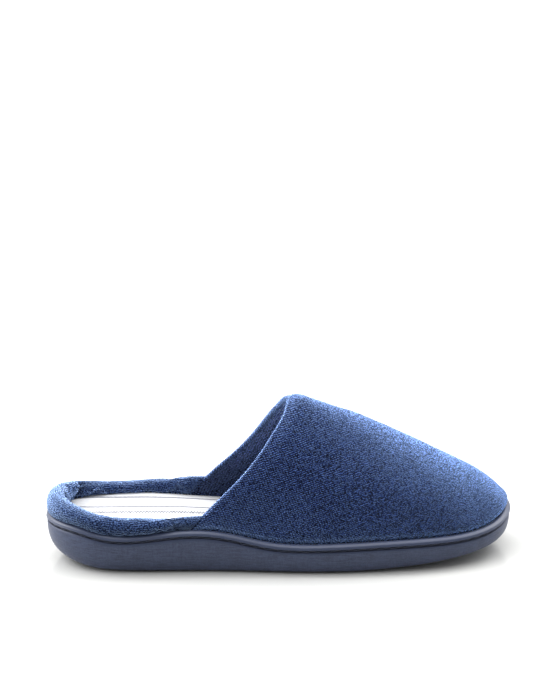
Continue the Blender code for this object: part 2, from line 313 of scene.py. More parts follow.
# ---------------------------------------------------------------- materials
class Nodes:
    """Short hand for building a node tree."""

    def __init__(self, name, roughness):
        self.material = bpy.data.materials.new(name)
        self.material.use_nodes = True
        self.tree = self.material.node_tree
        self.shader = self.tree.nodes["Principled BSDF"]
        self.shader.inputs["Roughness"].default_value = roughness

    def add(self, kind, **values):
        node = self.tree.nodes.new(kind)
        for key, value in values.items():
            setattr(node, key, value)
        return node

    def link(self, a, b):
        self.tree.links.new(a, b)

    def put(self, **values):
        for key, value in values.items():
            self.shader.inputs[key.replace("_", " ")].default_value = value

    def coords(self, kind):
        return self.add("ShaderNodeTexCoord").outputs[kind]

    def mapping(self, source, scale):
        node = self.add("ShaderNodeMapping")
        node.inputs["Scale"].default_value = scale
        self.link(source, node.inputs["Vector"])
        return node.outputs["Vector"]

    def noise(self, source, scale, detail=2.0, rough=0.5):
        node = self.add("ShaderNodeTexNoise")
        node.inputs["Scale"].default_value = scale
        node.inputs["Detail"].default_value = detail
        node.inputs["Roughness"].default_value = rough
        self.link(source, node.inputs["Vector"])
        return node.outputs["Fac"]

    def math(self, op, a, b=None, clamp=False):
        node = self.add("ShaderNodeMath", operation=op, use_clamp=clamp)
        for n, value in enumerate((a, b)):
            if value is None:
                continue
            if isinstance(value, (int, float)):
                node.inputs[n].default_value = value
            else:
                self.link(value, node.inputs[n])
        return node.outputs[0]

    def ramp(self, source, *stops):
        node = self.add("ShaderNodeValToRGB")
        while len(node.color_ramp.elements) < len(stops):
            node.color_ramp.elements.new(0.5)
        for element, (place, colour) in zip(node.color_ramp.elements, stops):
            element.position = place
            element.color = (*colour, 1.0)
        self.link(source, node.inputs["Fac"])
        return node.outputs["Color"]

    def mix(self, factor, a, b, blend="MIX"):
        node = self.add("ShaderNodeMix", data_type="RGBA", blend_type=blend)
        for n, value in ((0, factor), (6, a), (7, b)):
            if isinstance(value, (int, float)):
                node.inputs[n].default_value = value
            elif isinstance(value, tuple):
                node.inputs[n].default_value = (*value, 1.0)
            else:
                self.link(value, node.inputs[n])
        return node.outputs[2]

    def painted_sheen(self, colour, gain, power):
        """Painted sheen: colour times 1 + gain towards grazing views, so pile seen edge-on is paler."""
        facing = self.add("ShaderNodeLayerWeight")
        facing.inputs["Blend"].default_value = 0.5
        lift = self.add("ShaderNodeVectorMath", operation="MULTIPLY_ADD")
        self.link(self.math("POWER", facing.outputs["Facing"], power), lift.inputs[0])
        lift.inputs[1].default_value = gain
        lift.inputs[2].default_value = (1.0, 1.0, 1.0)
        return self.mix(1.0, colour, lift.outputs["Vector"], "MULTIPLY")

    def wander(self, source, where, scale, reach):
        """source shifted by up to about half of reach, differently from place to place."""
        noise = self.add("ShaderNodeTexNoise")
        noise.inputs["Scale"].default_value = scale
        noise.inputs["Detail"].default_value = 1.0
        self.link(where, noise.inputs["Vector"])
        shift = self.add("ShaderNodeVectorMath", operation="MULTIPLY_ADD")
        self.link(noise.outputs["Color"], shift.inputs[0])
        shift.inputs[1].default_value = (reach, reach, reach)
        self.link(source, shift.inputs[2])
        return shift.outputs["Vector"]

    def mark(self, name):
        return self.add("ShaderNodeAttribute", attribute_name=name).outputs["Fac"]

    def split(self, source):
        node = self.add("ShaderNodeSeparateXYZ")
        self.link(source, node.inputs[0])
        return node.outputs

    def wave(self, source, period):
        return self.math("COSINE", self.math("MULTIPLY", source, 2 * pi / period))

    def bump(self, height, strength, distance, normal=None):
        node = self.add("ShaderNodeBump")
        node.inputs["Strength"].default_value = strength
        node.inputs["Distance"].default_value = distance
        self.link(height, node.inputs["Height"])
        if normal is not None:
            self.link(normal, node.inputs["Normal"])
        return node.outputs["Normal"]

    def colour(self, socket):
        self.link(socket, self.shader.inputs["Base Color"])

    def normal(self, socket):
        self.link(socket, self.shader.inputs["Normal"])


LOOP_ROW, LOOP_STEP = 1.3, 3.4         # mm between the collar's rows of loops, and from loop to loop


def velour():
    """Short dense pile in offset rows of tufts: dark seen straight on, with a painted sheen that pales it towards
    grazing views.
    """
    n = Nodes("velour", 0.95)
    where = n.coords("Object")
    cloth = n.split(n.wander(n.coords("UV"), where, 300.0, 0.0005))
    course = n.wave(cloth[1], 0.0013)
    rows = n.math("MULTIPLY", n.wave(n.math("ADD", cloth[0], n.math("MULTIPLY", cloth[1], 0.33)), 0.0034), course)
    speck = n.math("MULTIPLY", course, n.math("SUBTRACT", n.noise(where, 1200.0, 0.0, 0.5), 0.5))
    tuft = n.noise(where, 1700.0, 0.0, 0.5)
    dots = n.noise(where, 1250.0, 0.0, 0.5)
    swirl = n.noise(where, 42.0, 3.0, 0.55)
    open_pile = n.mark("open")
    lattice = n.math("MULTIPLY", rows, n.math("SUBTRACT", 0.46, n.math("MULTIPLY", open_pile, 0.24)))
    loose = n.math("MULTIPLY", n.math("SUBTRACT", tuft, 0.5), n.math("ADD", 0.70, n.math("MULTIPLY", open_pile, 0.5)))
    loose = n.math("ADD", loose, n.math("MULTIPLY", n.math("SUBTRACT", dots, 0.5), n.math("MULTIPLY", open_pile, 0.6)))
    speck = n.math("MULTIPLY", speck, n.math("ADD", 1.3, n.math("MULTIPLY", open_pile, 2.2)))
    grain = n.math("ADD", n.math("ADD", loose, speck), n.math("ADD", lattice, 0.5))
    base = n.ramp(grain, (0.25, (0.0006, 0.0017, 0.0104)), (0.53, (0.0022, 0.0062, 0.0368)),
                  (0.75, (0.059, 0.113, 0.365)), (1.00, (0.152, 0.276, 0.720)))
    shade = n.ramp(swirl, (0.30, (0.82, 0.83, 0.86)), (0.70, (1.0, 1.0, 1.0)))
    pile = n.mix(1.0, base, shade, "MULTIPLY")
    pile = n.mix(open_pile, pile, n.mix(1.0, pile, (0.69, 0.75, 0.83), "MULTIPLY"))
    # painted shade: the pile inside the shoe is darker and more purple, deeper in and low down
    pile = n.mix(n.mark("inside"), pile, n.mix(1.0, pile, (1.05, 0.80, 0.70), "MULTIPLY"))
    # painted light: a paler band on the inside, just below the topline edge
    pile = n.mix(n.mark("painted_edge_light"), pile, n.mix(1.0, pile, (2.3, 1.9, 1.75), "MULTIPLY"))
    # painted sheen: the pile's colour grows paler towards grazing views
    n.colour(n.painted_sheen(pile, (18.2, 14.6, 8.8), 1.75))
    n.normal(n.bump(grain, 1.0, 0.0014))
    n.put(Sheen_Weight=0.65, Sheen_Roughness=0.30, Sheen_Tint=(0.38, 0.57, 1.0, 1.0),
          Specular_IOR_Level=0.10)
    return n.material


def looped_pile():
    """Looped pile of the collar: rows of loops along the roll, darker between the rows; painted light on the roll's
    inner face and on the lobe by the fold, painted shade in the fold's recess and along the roll's lower outside.
    """
    n = Nodes("looped_pile", 0.95)
    where = n.coords("Object")
    place = n.coords("UV")
    fleck = n.noise(n.mapping(place, (0.55, 1.0, 1.0)), 2050.0, 0.0, 0.5)
    cloth = n.split(place)
    line = n.math("DIVIDE", cloth[1], LOOP_ROW * MM)
    rows = n.wave(line, 1.0)
    loops = n.math("COSINE", n.math("ADD", n.math("MULTIPLY", cloth[0], 2 * pi / (LOOP_STEP * MM)),
                                    n.math("MULTIPLY", n.math("ROUND", line), 2.4)))
    weave = n.math("ADD", n.math("MULTIPLY", rows, 0.13), n.math("MULTIPLY", loops, 0.05))
    grain = n.math("ADD", n.math("MULTIPLY", n.math("SUBTRACT", fleck, 0.5), 2.1), n.math("ADD", weave, 0.5))
    base = n.ramp(grain, (0.24, (0.0018, 0.0045, 0.0195)), (0.50, (0.0092, 0.0214, 0.0770)),
                  (0.77, (0.101, 0.180, 0.425)))
    cover = n.noise(where, 55.0, 2.0, 0.5)
    base = n.mix(1.0, base, n.ramp(cover, (0.3, (0.86, 0.87, 0.90)), (0.7, (1.0, 1.0, 1.0))), "MULTIPLY")
    # painted light: the roll's inner face is made paler
    base = n.mix(n.mark("inside"), base, n.mix(1.0, base, (1.22, 1.14, 1.10), "MULTIPLY"))
    # painted shade: the fold's recess and the roll's lower outside are darkened
    base = n.mix(n.mark("painted_shade_fold_and_low"), base, n.mix(1.0, base, (0.22, 0.21, 0.21), "MULTIPLY"))
    # painted light: the lobe beside the fold is made paler
    base = n.mix(n.mark("painted_lobe_light"), base, n.mix(1.0, base, (1.7, 1.6, 1.45), "MULTIPLY"))
    # painted sheen: the loops' colour grows paler towards grazing views
    n.colour(n.painted_sheen(base, (13.4, 10.6, 7.0), 2.0))
    n.normal(n.bump(grain, 0.9, 0.0010))
    n.put(Sheen_Weight=0.65, Sheen_Roughness=0.30, Sheen_Tint=(0.45, 0.63, 0.98, 1.0),
          Specular_IOR_Level=0.10)
    return n.material


def lining():
    """Flat knitted lining inside the vamp."""
    n = Nodes("lining", 0.9)
    where = n.coords("Object")
    knit = n.noise(where, 1300.0, 2.0, 0.5)
    n.colour(n.ramp(knit, (0.35, (0.008, 0.011, 0.022)), (0.65, (0.024, 0.032, 0.062))))
    n.normal(n.bump(knit, 0.4, 0.0006))
    n.put(Sheen_Weight=0.2, Sheen_Roughness=0.5, Specular_IOR_Level=0.15)
    return n.material


def jersey():
    """White insole cover with thin grey-blue lines and a row of dashes along it."""
    n = Nodes("jersey", 0.92)
    where = n.coords("Object")
    knit = n.noise(n.mapping(where, (0.35, 1.0, 1.0)), 1500.0, 1.0, 0.5)
    bleed = n.math("MULTIPLY", n.math("SUBTRACT", n.noise(where, 700.0, 2.0, 0.6), 0.5), 0.0011)
    at = n.split(where)
    across = n.math("ADD", at[1], bleed)
    heel = n.math("MAXIMUM", n.math("SUBTRACT", -0.109, at[0]), 0.0)
    bent = n.math("ADD", across, n.math("MULTIPLY", n.math("MULTIPLY", heel, heel), 11.5))

    def line(source, place, width):
        return n.math("LESS_THAN", n.math("ABSOLUTE", n.math("SUBTRACT", source, place * MM)), width / 2 * MM)

    swing = n.math("PINGPONG", n.math("ADD", at[0], n.math("ADD", bleed, 0.2)), 0.0009)     # zigzag seam
    seam = n.math("ADD", n.math("SUBTRACT", across, -0.0038), n.math("MULTIPLY", n.math("SUBTRACT", swing, 0.00045), 3.0))
    zigzag = n.math("MULTIPLY", n.math("LESS_THAN", n.math("ABSOLUTE", seam), 0.0012),
                    n.math("ADD", n.noise(where, 420.0, 1.0, 0.5), 0.25))
    ink = n.math("MULTIPLY", n.math("MAXIMUM", line(bent, 20.3, 1.9), line(across, 5.3, 1.9)), 0.72)
    ink = n.math("MAXIMUM", ink, n.math("MULTIPLY", line(across, 1.8, 1.4), 0.3))
    ink = n.math("MAXIMUM", ink, zigzag)
    cloth = n.ramp(knit, (0.30, (0.465, 0.475, 0.495)), (0.60, (0.530, 0.534, 0.545)))
    n.colour(n.mix(n.math("MINIMUM", ink, 0.95), cloth, (0.030, 0.036, 0.070)))
    n.normal(n.bump(knit, 0.25, 0.0005))
    n.put(Sheen_Weight=0.15, Sheen_Roughness=0.5, Specular_IOR_Level=0.2)
    return n.material


def rubber():
    """Matte moulded rubber: fine lengthwise texture and faint upright streaks on the wall, a smoother bead."""
    n = Nodes("sole_rubber", 0.5)
    where = n.coords("Object")
    drag = n.noise(n.mapping(where, (0.10, 0.10, 1.0)), 1500.0, 1.0, 0.6)
    streak = n.noise(n.mapping(where, (1.0, 1.0, 0.14)), 800.0, 2.0, 0.6)
    mould = n.noise(where, 1500.0, 1.0, 0.5)
    haze = n.noise(where, 60.0, 3.0, 0.55)
    base = n.ramp(haze, (0.30, (0.0180, 0.0260, 0.0610)), (0.70, (0.0240, 0.0345, 0.0780)))
    fine = n.math("ADD", n.math("MULTIPLY", drag, 0.45),
                  n.math("ADD", n.math("MULTIPLY", streak, 0.20), n.math("MULTIPLY", mould, 0.35)))
    wall = n.mark("wall")
    grit = n.ramp(fine, (0.40, (0.0, 0.0, 0.0)), (0.60, (0.80, 0.80, 0.80)))
    grit = n.mix(wall, (0.42, 0.42, 0.42), grit)
    skin = n.mix(grit, base, (0.051, 0.070, 0.137))
    # painted shade: the rubber in the groove is darker
    n.colour(n.mix(n.mark("deep"), skin, (0.030, 0.037, 0.066)))
    n.normal(n.bump(n.math("MULTIPLY", fine, wall), 0.5, 0.0007))
    rough = n.ramp(fine, (0.3, (0.50, 0.50, 0.50)), (0.7, (0.66, 0.66, 0.66)))
    n.link(n.mix(wall, (0.41, 0.41, 0.41), rough), n.shader.inputs["Roughness"])
    n.put(Specular_IOR_Level=0.50, Sheen_Weight=0.14, Sheen_Roughness=0.40)
    return n.material


def thread():
    """Twisted thread in the groove of the sole."""
    n = Nodes("sole_thread", 0.6)
    where = n.coords("Object")
    twist = n.noise(where, 1800.0, 1.0, 0.5)
    n.colour(n.ramp(twist, (0.3, (0.022, 0.028, 0.050)), (0.7, (0.048, 0.060, 0.098))))
    n.normal(n.bump(twist, 0.4, 0.0004))
    n.put(Specular_IOR_Level=0.4)
    return n.material


VELOUR, PILE, LINING, JERSEY, RUBBER, THREAD = velour(), looped_pile(), lining(), jersey(), rubber(), thread()


# ---------------------------------------------------------------- pieces
def cupped(station):
    """How far the cushion's edge rises round the heel."""
    return 1.2 * (1 - smooth((station - 0.20) / 0.14))


def make_outsole():
    count = 720
    turn = np.arange(count) * 2 * pi / count
    station = station_of(turn)
    rim, tread = rim_at(station), tread_at(station)
    shoulder, tuck = 0.6, undercut_at(turn)
    stack = []
    for inset, lift in ((16.0, 0.0), (8.0, 0.0), (6.0, 0.08), (4.0, 0.3), (2.0, 0.62), (0.8, 0.85)):
        stack.append(level(turn, tuck + inset, tread + lift))      # flat tread, eased off to its edge
    steps = 26
    for k in range(steps + 1):
        a = k / steps * pi / 2
        up = 1 - np.cos(a) ** (2 / WALL_ROUND)
        out = np.sin(a) ** (2 / WALL_ROUND)
        stack.append(level(turn, tuck + (shoulder - tuck) * out,
                           tread + 0.95 + (rim - BEAD - GROOVE - 0.2 - tread - 0.95) * up))
    low = BEAD + GROOVE + 0.2
    profile = [
        (0.68, low - 0.06), (0.90, low - 0.12), (1.50, low - 0.18), (1.85, low - 0.40),    # groove
        (1.85, BEAD + 0.25), (1.50, BEAD + 0.04), (0.80, BEAD - 0.04), (0.36, BEAD - 0.12),
        (0.10, BEAD - 0.24), (0.03, BEAD - 0.40), (0.12, BEAD - 0.58), (0.28, BEAD - 0.80),  # lip
        (0.32, BEAD - 1.20), (0.32, 1.45), (0.36, 1.32), (0.50, 1.18), (0.95, 0.86), (1.45, 0.51),
        (1.85, 0.26), (2.30, 0.10), (2.90, 0.01), (3.40, 0.00), (LIP, 0.20), (LIP, 2.0),
    ]
    stack += [level(turn, inset, rim - drop) for inset, drop in profile]
    stack.append(level(turn, LIP, floor_at(station)))
    points = np.concatenate(stack)
    wall, deep = np.zeros((len(stack), count)), np.zeros((len(stack), count))
    wall[:6 + steps] = 1.0
    # painted shade: the groove's rings are marked for darker rubber
    deep[8 + steps:13 + steps] = 1.0
    obj = mesh_object("sole_moulding", points, ring_faces(len(stack), count), [RUBBER], marks={"wall": wall, "deep": deep})
    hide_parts("outsole")
    return obj


def make_insole():
    count = 600
    turn = np.arange(count) * 2 * pi / count
    station = station_of(turn)
    edge = FEATHER + WALL + GAP
    lift = cupped(station)
    top, low = footbed_at(station) + lift, floor_at(station) + GAP
    stack = [level(turn, edge, low), level(turn, edge, (low + top) / 2)]
    for k in range(5):
        a = k / 4 * pi / 2
        stack.append(level(turn, edge + EDGE_ROUND * (1 - cos(a)), top - EDGE_ROUND * (1 - sin(a))))
    for inset in (2.5, 5.0, 8.0, 11.0, 14.0):
        stack.append(level(turn, edge + inset, top - lift * smooth(inset / 15.0)))
    obj = mesh_object("insole_cushion", np.concatenate(stack), ring_faces(len(stack), count), [JERSEY])
    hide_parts("insole")
    return obj


def make_upper():
    lower, across, rows_out, rows_in = 3, 250, 230, 90
    angle = np.concatenate([np.zeros(lower), np.linspace(0, pi, across + 1), np.full(lower, pi)])
    sink = np.concatenate([np.arange(lower, 0, -1) / lower, np.zeros(across + 1),
                           np.arange(1, lower + 1) / lower])

    def face(rows):
        share = (np.arange(rows + 1) / rows) ** 1.25
        back = np.arccos(1 - 2 * topline_at(angle))
        turn = back[None] + (pi - back[None]) * share[:, None]
        wide, deep = np.broadcast_to(angle, turn.shape), np.broadcast_to(sink, turn.shape)
        outer, normal = vamp_face(turn, wide), vamp_normal(turn, wide)
        low = (deep > 0) | (wide == 0) | (wide == pi)
        around_turn = np.where(wide < pi / 2, turn, 2 * pi - turn)
        inward = plan(around_turn, np.ones_like(turn)) - plan(around_turn, np.zeros_like(turn))
        normal[low] = -np.concatenate([inward, np.zeros_like(turn)[..., None]], -1)[low]
        normal[-1] = (1.0, 0.0, 0.0)
        walk = np.linalg.norm(np.diff(outer, axis=0, prepend=outer[:1]), axis=-1).cumsum(0)
        roll = (EDGE_DIP + 0.5 * np.sin(wide) ** 4) * (1 - np.clip(walk / EDGE_ROLL, 0, 1)) ** 2 * np.sin(wide) * (deep == 0)
        outer = outer - roll[..., None] * normal
        drop = rim_at(station_of(turn)) - floor_at(station_of(turn)) - GAP
        rise = crown_at(turn) * np.sin(wide)           # height above the rim
        outer[..., 2] -= deep * drop
        fine = np.linspace(0, pi, 2001)
        edge_line = np.stack([plan(fine, np.full_like(fine, FEATHER)),
                              plan(2 * pi - fine, np.full_like(fine, FEATHER))])
        run = np.linalg.norm(np.diff(edge_line, axis=1, prepend=edge_line[:, :1]), axis=-1).cumsum(1)
        run = np.where(wide < pi / 2, np.interp(turn, fine, run[0]), np.interp(turn, fine, run[1]))
        girth = np.linalg.norm(np.diff(outer, axis=1, prepend=outer[:, :1]), axis=-1).cumsum(1)
        girth = np.where(wide < pi / 2, girth, girth[:, -1:] - girth)
        return outer, normal, walk, rise, deep, turn, np.stack([run, girth], -1) * MM

    outer, normal, walk, rise, deep, turn, cloth = face(rows_out)
    swell = waves(outer, 46.0, 3) * 0.35 + waves(outer, 21.0, 4) * 0.12
    fade = smooth(walk / 12.0) * smooth(rise / 9.0)
    shown = outer + (swell * fade)[..., None] * normal
    toe = np.exp(-((pi - turn) / 0.62) ** 2)
    tuck = (0.6 - 0.3 * toe) * np.exp(-(rise / 1.6) ** 2) * (deep == 0)
    puff = 0.7 * smooth(rise / 4.0) * (1 - smooth((rise - 4.0) / 16.0))
    puff += 1.3 * toe * smooth(rise / 1.5) * (1 - smooth((rise - 2.0) / 7.0))
    puff += 1.8 * toe * np.exp(-((rise - 21.0) / 9.0) ** 2)
    puff += 0.7 * np.exp(-((walk - 4.0) / 4.5) ** 2) * np.sin(np.broadcast_to(angle, walk.shape)) ** 8
    puff += 1.0 * np.exp(-(walk / 9.0) ** 2) * np.exp(-(rise / 16.0) ** 2)      # padded corner against the collar
    shown += (puff - tuck)[..., None] * normal * (deep == 0)[..., None]
    shown[-1] = outer[-1]

    inside, normal_in, walk_in, rise_in, deep_in, _, cloth_in = face(rows_in)
    padding = 2.0 * np.exp(-(walk_in / 9.0) ** 2) * np.sin(angle) ** 0.5 * (deep_in == 0)
    inner = inside - (WALL + padding)[..., None] * normal_in

    away = outer[0] - outer[1]
    away -= np.sum(away * normal[0], -1, keepdims=True) * normal[0]
    away /= np.linalg.norm(away, axis=-1, keepdims=True)
    thick = np.linalg.norm(outer[0] - inner[0], axis=-1, keepdims=True) / 2
    bend = np.linspace(0, pi, 15)[1:-1]
    edge = [(outer[0] + inner[0]) / 2 + thick * (cos(a) * normal[0] + sin(a) * away) for a in bend]
    sheet = list(shown[::-1]) + edge + list(inner)
    cloth = list(cloth[::-1]) + [cloth[0] - a * thick * (1, 0) * MM for a in bend] + list(cloth_in * (-1, 1))
    none = np.zeros(len(angle))
    low_in = 1 - smooth((rise_in - 8.0) / 26.0)
    # painted shade: marks for darker pile inside the shoe, deeper in and low down
    inner_shading = [none] * (len(shown) + len(bend)) + list(np.maximum(smooth((walk_in - 6.0) / 20.0), low_in))
    # painted light: marks for a paler band inside, just below the topline edge
    painted_edge_light = [none] * (len(shown) + len(bend)) + list(np.exp(-((walk_in - 5.0) / 7.0) ** 2) * (1 - low_in))
    loose = list(smooth((turn - 1.45) / 1.0)[::-1]) + [none] * (len(bend) + len(inner))
    wide_count = len(angle)
    faces, slots = [], []
    turned = len(shown) + len(edge)
    for k in range(len(sheet) - 1):
        for i in range(wide_count - 1):
            faces.append((k * wide_count + i, k * wide_count + i + 1,
                          (k + 1) * wide_count + i + 1, (k + 1) * wide_count + i))
            slots.append(0 if k < turned + 40 else 1)
    points = np.concatenate(sheet)
    # feet of the wall: the outer and inner faces are joined along both sides
    first = [k * wide_count for k in range(len(sheet))]
    for i in (0, wide_count - 1):
        front, rear = [k + i for k in first[:len(shown)]], [k + i for k in first[turned:]]
        middle = [k + i for k in first[len(shown):turned]]
        rear = rear[::-1]
        a = b = 0
        while a < len(front) - 1 or b < len(rear) - 1:
            if b == len(rear) - 1 or (a < len(front) - 1 and (a + 1) / len(front) <= (b + 1) / len(rear)):
                faces.append((front[a], front[a + 1], rear[b]))
                a += 1
            else:
                faces.append((front[a], rear[b + 1], rear[b]))
                b += 1
            slots.append(1)
        faces.append([front[-1]] + middle + [rear[-1]])
        slots.append(0)
    obj = mesh_object("vamp_shell", points, faces, [VELOUR, LINING], slots, np.concatenate(cloth),
                      marks={"inside": np.concatenate(inner_shading), "painted_edge_light": np.concatenate(painted_edge_light),
                             "open": np.concatenate(loose)})
    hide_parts("upper")
    return obj


def collar_loops(steps, ring):
    """Sections of the padded roll round the heel, as in the part: the foot's two points on each side, the roll between."""
    edge = (WALL / 2 + GAP) / LENGTH
    first = -turn_of(TOPLINE[0].medial - edge)
    final = turn_of(TOPLINE[0].lateral - edge)
    turn = np.linspace(first, final, steps + 1)
    to_end = np.minimum(turn - first, final - turn)
    near_end = 1 - smooth(to_end / SEAM_BLEND)
    station = station_of(turn)
    rim, foot = rim_at(station), floor_at(station) + GAP
    far = 0.45 * smooth((-turn - 0.10) / 0.30) + 0.65 * smooth((-turn - 0.64) / 0.20)
    top = collar_at(station) + far * (1 - 0.8 * smooth((-turn - 1.08) / 0.10)) - 1.2 * near_end * (turn > 0)
    rest = footbed_at(station) + GAP + cupped(station)
    thinner = 1 - smooth(to_end / (1.7 * SEAM_BLEND))
    outside = ROLL_OUT + (SEAM_OUT - ROLL_OUT) * near_end
    inside = ROLL_IN + (SEAM_IN - ROLL_IN) * thinner
    middle, half = (outside + inside) / 2, (inside - outside) / 2
    section = [(np.full_like(turn, FEATHER), foot), (np.full_like(turn, FEATHER), rim + GAP)]
    for k in range(ring + 1):
        a = -ROLL_TUCK + (pi + 2 * ROLL_TUCK) * k / ring
        base = rim + GAP if a <= pi / 2 else rest
        rise = (top - base) / (1 + sin(ROLL_TUCK))
        section.append((middle - half * cos(a), top - rise + rise * sin(a)))
    section += [(np.full_like(turn, FEATHER + WALL), rest), (np.full_like(turn, FEATHER + WALL), foot)]
    lean = np.sign(turn) * SEAM_SLOPE * near_end
    loops = np.stack([level(turn + lean * np.maximum(z - rim, 0), inset, z) for inset, z in section], 1)
    return turn, to_end, loops


def loop_faces(steps, count):
    faces = [(k * count + i, k * count + (i + 1) % count,
              (k + 1) * count + (i + 1) % count, (k + 1) * count + i)
             for k in range(steps) for i in range(count)]
    return faces + [tuple(range(count)), tuple(range(steps * count, (steps + 1) * count))]


def spread(fine, coarse):
    """Weights that carry values on `coarse` even places to `fine` ones along a smooth curve."""
    t = np.linspace(0, coarse - 1, fine)
    i = np.minimum(t.astype(int), coarse - 2)
    f = t - i
    weights = np.zeros((fine, coarse))
    for shift, w in ((-1, -f / 2 + f ** 2 - f ** 3 / 2), (0, 1 - 2.5 * f ** 2 + 1.5 * f ** 3),
                     (1, f / 2 + 2 * f ** 2 - 1.5 * f ** 3), (2, (f ** 3 - f ** 2) / 2)):
        np.add.at(weights, (np.arange(fine), np.clip(i + shift, 0, coarse - 1)), w)
    return weights


def stuffed(steps, ring, reach):
    """How the filling pushes the roll's cloth out: a short cloth run on a coarse roll, in millimetres."""
    _, _, loops = collar_loops(steps, ring)
    count = loops.shape[1]
    mesh = bpy.data.meshes.new("stuffing")
    mesh.from_pydata((loops.reshape(-1, 3) * MM).tolist(), [], loop_faces(steps, count))
    bm = bmesh.new()
    bm.from_mesh(mesh)
    bmesh.ops.recalc_face_normals(bm, faces=bm.faces)
    bm.to_mesh(mesh)
    bm.free()
    obj = bpy.data.objects.new("stuffing", mesh)
    bpy.context.scene.collection.objects.link(obj)
    held = obj.vertex_groups.new(name="held")
    index = np.arange(loops.shape[0] * count).reshape(-1, count)
    keep = np.concatenate([index[:, :3].ravel(), index[:, -3:].ravel(), index[:3].ravel(), index[-3:].ravel()])
    held.add(sorted(set(keep.tolist())), 1.0, "REPLACE")
    cloth = obj.modifiers.new("cloth", "CLOTH")
    cloth.settings.quality = 5
    cloth.settings.mass = 0.2
    cloth.settings.tension_stiffness = cloth.settings.compression_stiffness = 12.0
    cloth.settings.shear_stiffness = 6.0
    cloth.settings.bending_stiffness = 0.4
    cloth.settings.vertex_group_mass = "held"
    cloth.settings.shrink_min = -0.035
    cloth.settings.use_pressure = True
    cloth.settings.uniform_pressure_force = 4.0
    cloth.settings.effector_weights.gravity = 0.0
    cloth.collision_settings.use_collision = False
    cloth.point_cache.frame_start, cloth.point_cache.frame_end = 1, 20
    scene = bpy.context.scene
    for f in range(1, 21):
        scene.frame_set(f)
    settled = obj.evaluated_get(bpy.context.evaluated_depsgraph_get()).to_mesh()
    moved = np.empty(len(settled.vertices) * 3, np.float32)
    settled.vertices.foreach_get("co", moved)
    scene.frame_set(1)
    bpy.data.objects.remove(obj)
    bpy.data.meshes.remove(mesh)
    move = moved.reshape(loops.shape).astype(float) / MM - loops
    length = np.linalg.norm(move, axis=-1, keepdims=True)
    return (move * np.minimum(1.0, reach / np.maximum(length, 1e-9)))[:, 2:-2]


def make_collar():
    steps, ring = 640, 96
    turn, to_end, loops = collar_loops(steps, ring)
    roll = loops[:, 2:-2]
    move = stuffed(112, 22, 0.9)
    roll += np.einsum("fc,crx,gr->fgx", spread(steps + 1, move.shape[0]), move, spread(ring + 1, move.shape[1]))
    d_along = np.gradient(roll, axis=0)
    d_round = np.gradient(roll, axis=1)
    normal = np.cross(d_round, d_along)
    normal /= np.linalg.norm(normal, axis=-1, keepdims=True)
    outward = roll - roll.mean(axis=1, keepdims=True)
    normal *= np.sign(np.sum(normal * outward, -1, keepdims=True).mean())

    # rows of loops along the roll
    run = np.linalg.norm(np.diff(roll[:, ring // 2], axis=0, prepend=roll[:1, ring // 2]), axis=-1).cumsum()[:, None]
    girth = np.linalg.norm(np.diff(roll, axis=1, prepend=roll[:, :1]), axis=-1).cumsum(1)
    u = run + waves(roll, 7.0, 12) * 0.7
    v = girth + waves(roll, 26.0, 11) * 0.35 + waves(roll, 6.0, 14) * 0.10
    rows = np.cos(2 * pi * v / LOOP_ROW)
    each = np.cos(2 * pi * u / LOOP_STEP + 2.4 * np.round(v / LOOP_ROW))
    height = 0.045 * rows + 0.03 * each * (0.5 + 0.5 * rows) + 0.12 * waves(roll, 24.0, 13)

    # one fold where the roll bends into the heel on the big toe side
    round_the_roll = np.linspace(-ROLL_TUCK, pi + ROLL_TUCK, ring + 1)[None]
    crease = np.interp(-0.44 + 0.04 * (round_the_roll - pi / 2), turn, run[:, 0])
    past = crease - run                                # mm towards the toe from the fold
    over_fold = smooth((past + 0.5) / 1.1)
    fold = ((1 - over_fold) * 2.2 * np.exp(-(past / 7.5) ** 2)
            - over_fold * (3.4 * np.exp(-np.maximum(past, 0) / 3.5) + 1.8 * np.exp(-np.maximum(past, 0) / 10.0)))
    fold_side = smooth((round_the_roll - radians(84)) / radians(40))
    fold = np.where(past < 0, fold * (1 - 1.2 * smooth((round_the_roll - radians(140)) / radians(60))), fold)
    height += fold * fold_side
    ends = smooth(to_end / 0.02)[:, None]
    roll += (height * ends)[..., None] * normal

    count = loops.shape[1]
    cloth = np.stack([u, v], -1) * MM
    cloth = np.concatenate([cloth[:, :1]] * 2 + [cloth] + [cloth[:, -1:]] * 2, 1).reshape(-1, 2)
    # painted shade: marks for darker loops in the fold's recess
    painted_shade_fold_and_low = over_fold * np.exp(-(np.maximum(past, 0) / 8.0) ** 2) * fold_side
    # painted light: the lobe beside the fold is marked for paler loops
    lobe = np.exp(-(np.minimum(past + 4.0, 0) / 12.0) ** 2) * (1 - over_fold)
    # painted light: marks for paler loops on the roll's inner face, away from the fold
    inner_shading = smooth((round_the_roll - radians(98)) / radians(50)) * (1 - lobe) * (1 - painted_shade_fold_and_low)
    # painted shade: marks for darker loops along the roll's lower outside, next to the sole
    painted_shade_fold_and_low = np.maximum(painted_shade_fold_and_low, 0.9 * (1 - smooth((round_the_roll + ROLL_TUCK) / radians(85))))
    obj = mesh_object("collar_roll", loops.reshape(-1, 3), loop_faces(steps, count), [PILE], uv=cloth,
                      marks={"inside": np.pad(inner_shading, ((0, 0), (2, 2)), mode="edge"),
                             "painted_shade_fold_and_low": np.pad(painted_shade_fold_and_low, ((0, 0), (2, 2)), mode="edge"),
                             "painted_lobe_light": np.pad(lobe * fold_side, ((0, 0), (2, 2)), mode="edge")})
    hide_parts("heel_collar")
    return obj


